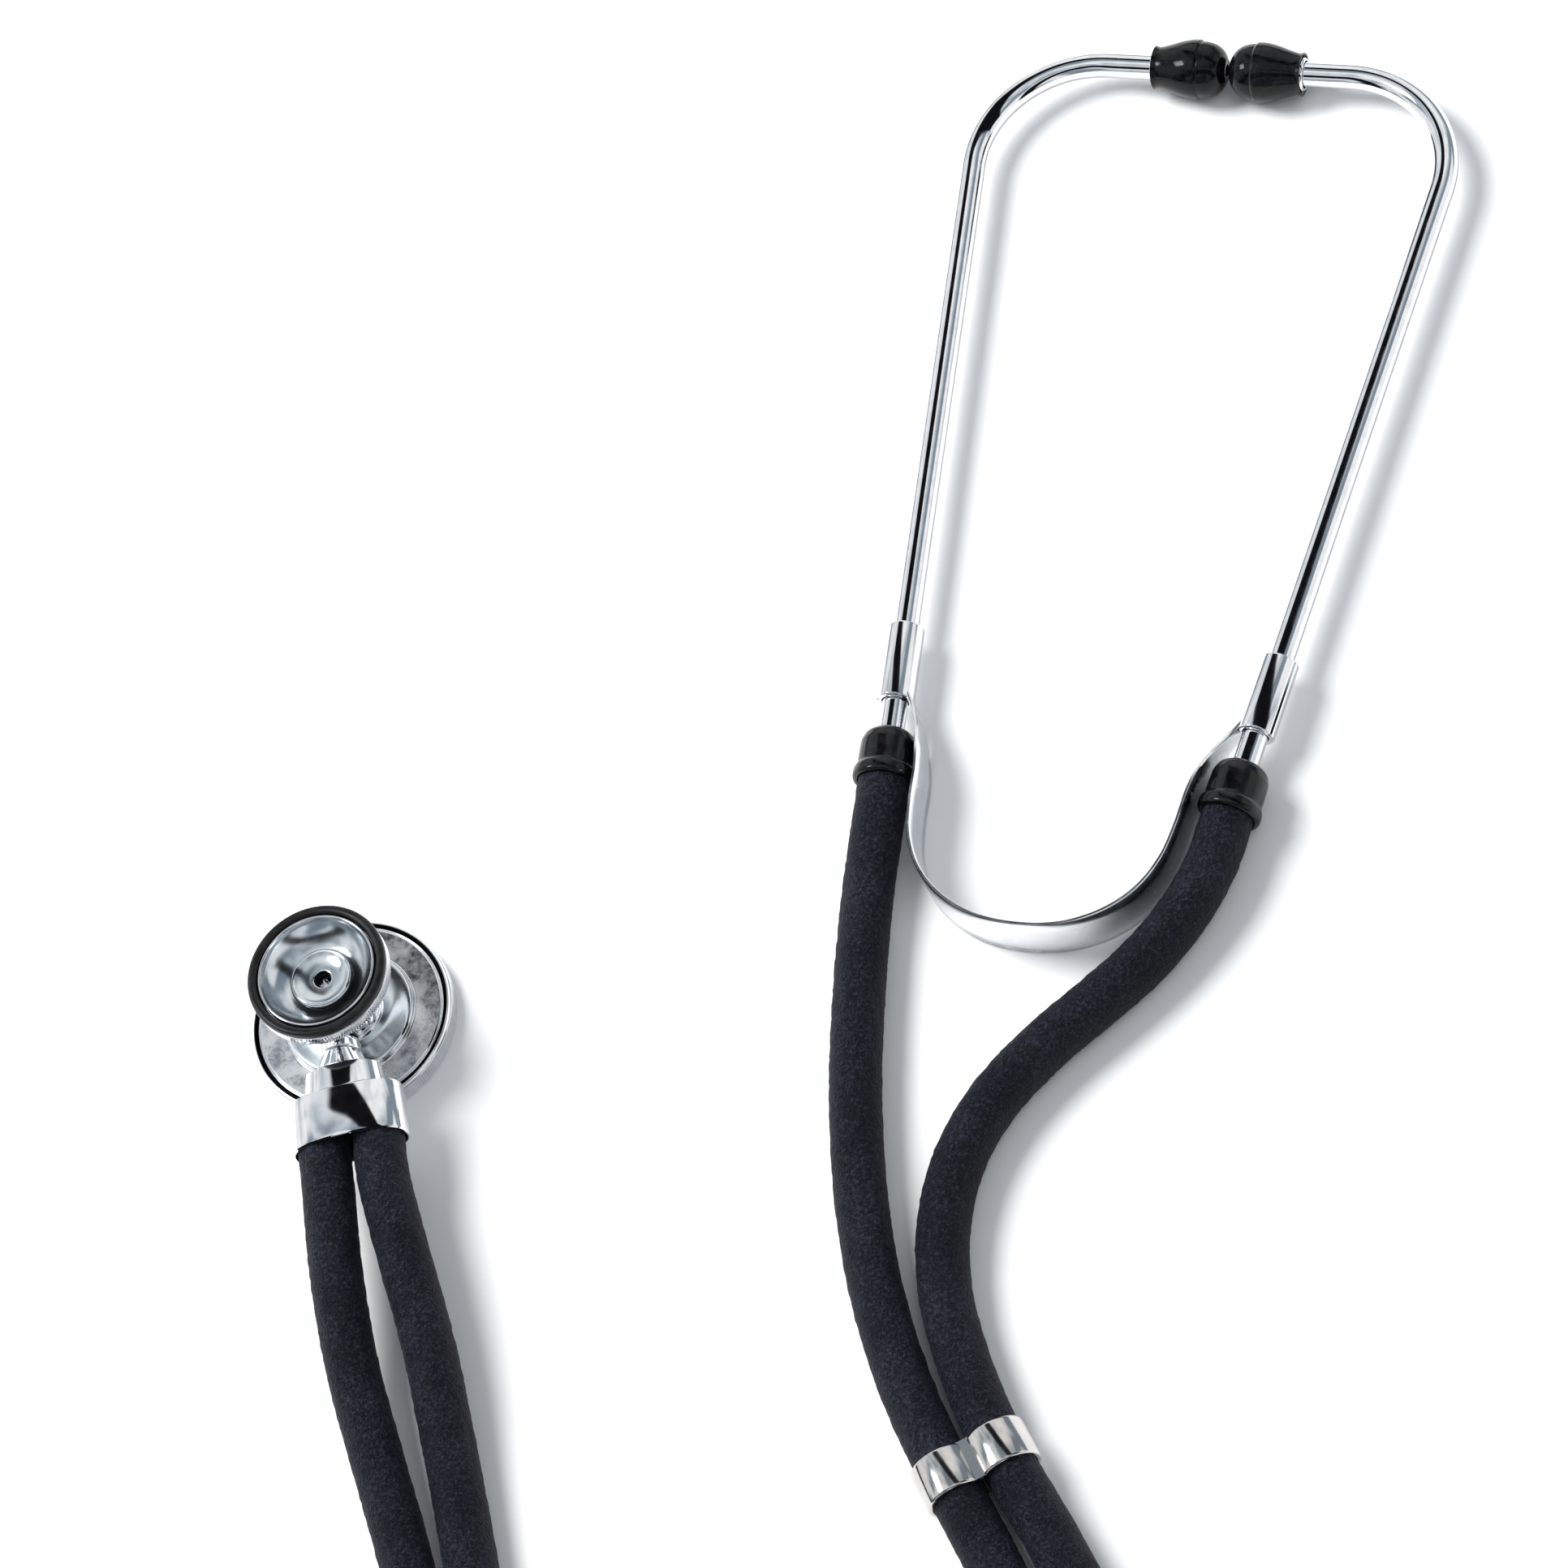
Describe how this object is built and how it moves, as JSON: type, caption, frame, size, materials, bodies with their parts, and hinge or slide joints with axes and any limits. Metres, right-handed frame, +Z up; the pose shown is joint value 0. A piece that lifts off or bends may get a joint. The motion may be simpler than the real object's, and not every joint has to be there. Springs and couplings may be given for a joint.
{
  "type": "stethoscope",
  "caption": "Binaural stethoscope with separate rubber hoses, sprung chrome headset and a turning chest piece with diaphragm drum and bell.",
  "frame": {"origin": "centre of the diaphragm's face, on the surface the stethoscope lies on", "axes": "+Y along the stem away from the hoses, +Z up from the diaphragm through the bell, +X to the right of the stem"},
  "size_m": [0.2935, 0.4481, 0.0276],
  "materials": {
    "chrome": "polished",
    "steel": "bright rolled",
    "black_plastic": "gloss",
    "black_rubber": "matte, fine grain",
    "black_ring": "satin",
    "diaphragm_film": "satin film"
  },
  "bodies": {
    "root": {"leaf_spring": "steel", "left_hose": "black_rubber", "right_hose": "black_rubber", "hose_clip": "steel", "hose_collar": "chrome", "left_hose_barb": "steel", "right_hose_barb": "steel", "stem": "chrome", "stem_seal": "black_rubber", "stem_screw": "steel"},
    "left_arm": {"left_spring_sleeve": "steel", "left_hose_cap": "black_plastic"},
    "right_arm": {"right_spring_sleeve": "steel", "right_hose_cap": "black_plastic"},
    "left_tube": {"left_ear_tube": "chrome", "left_tip_ferrule": "chrome"},
    "right_tube": {"right_ear_tube": "chrome", "right_tip_ferrule": "chrome"},
    "left_tip": {"left_ear_tip": "black_plastic"},
    "right_tip": {"right_ear_tip": "black_plastic"},
    "head": {"valve_block": "chrome", "index_ball": "steel", "index_spring": "steel", "index_screw": "steel", "drum_body": "chrome", "drum_gasket": "black_rubber", "diaphragm": "diaphragm_film"},
    "drum_cap": {"drum_ring": "chrome"},
    "bell": {"bell_body": "chrome", "bell_hub": "chrome", "bell_ring": "black_ring"}
  },
  "joints": [
    {"name": "left_spread", "type": "hinge", "parent": "root", "child": "left_arm", "pos_m": [0.14795, -0.01474, 0.0068], "axis": [0, 0, 1], "range_deg": [0, 16], "stiffness_Nm_per_rad": 1.2, "deforming": ["left_hose", "leaf_spring"]},
    {"name": "left_tube_turn", "type": "hinge", "parent": "left_arm", "child": "left_tube", "pos_m": [0.13008, 0.0487, 0.0068], "axis": [-0.281, -0.9597, 0], "range_deg": [-20, 20]},
    {"name": "left_tip_unscrew", "type": "hinge", "parent": "left_tube", "child": "left_tip", "pos_m": [0.21906, 0.18089, 0.0068], "axis": [-0.926, 0.3775, 0], "continuous": true},
    {"name": "right_spread", "type": "hinge", "parent": "root", "child": "right_arm", "pos_m": [0.14795, -0.01474, 0.0068], "axis": [0, 0, 1], "range_deg": [-16, 0], "stiffness_Nm_per_rad": 1.2, "deforming": ["right_hose"]},
    {"name": "right_tube_turn", "type": "hinge", "parent": "right_arm", "child": "right_tube", "pos_m": [0.20507, 0.01813, 0.0068], "axis": [-0.4701, -0.8826, 0], "range_deg": [-20, 20]},
    {"name": "right_tip_unscrew", "type": "hinge", "parent": "right_tube", "child": "right_tip", "pos_m": [0.23388, 0.17485, 0.0068], "axis": [0.926, -0.3775, 0], "continuous": true},
    {"name": "head_turn", "type": "hinge", "parent": "root", "child": "head", "pos_m": [0, 0, 0.0145], "axis": [0, 1, 0], "continuous": true},
    {"name": "drum_ring_unscrew", "type": "hinge", "parent": "head", "child": "drum_cap", "pos_m": [0, 0, 0.003], "axis": [0, 0, 1], "continuous": true},
    {"name": "bell_unscrew", "type": "hinge", "parent": "head", "child": "bell", "pos_m": [0, 0, 0.022], "axis": [0, 0, 1], "continuous": true}
  ],
  "couplings": [
    {"joint": "right_spread", "follows": "left_spread", "ratio": -1}
  ]
}
